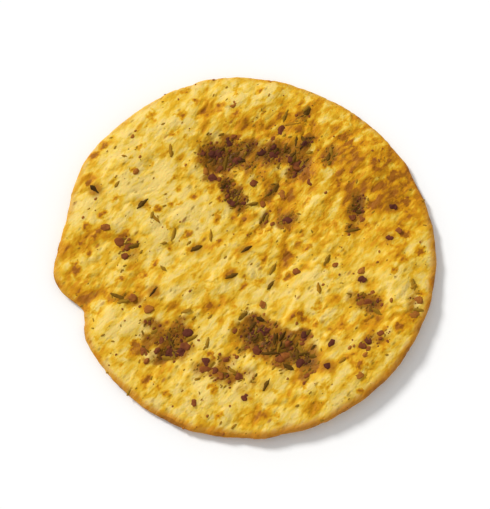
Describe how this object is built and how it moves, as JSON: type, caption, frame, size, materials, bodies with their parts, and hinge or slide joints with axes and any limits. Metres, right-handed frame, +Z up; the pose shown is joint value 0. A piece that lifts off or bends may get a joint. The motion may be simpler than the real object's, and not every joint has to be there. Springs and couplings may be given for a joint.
{
  "type": "zaatar cracker",
  "caption": "Thin round crisp cracker with a blistered golden upper face and baked-in patches of dried herb and sumac.",
  "frame": {"origin": "bottom centre of the cracker's bounding box, on the surface it rests on", "axes": "+Z up out of the seasoned face. +X to the right and +Y away, as seen by someone who looks down on it with the lobe and nick of its rim on the left"},
  "size_m": [0.0584, 0.0574, 0.0035],
  "materials": {
    "dough": "golden baked dough, dry and slightly glossy with oil, orange-brown at the rim",
    "herbs": "dried thyme and oregano, olive to dark brown, matte",
    "sumac": "ground sumac, dark red to purple-brown, matte"
  },
  "bodies": {
    "root": {"cracker": "dough"}
  },
  "joints": []
}
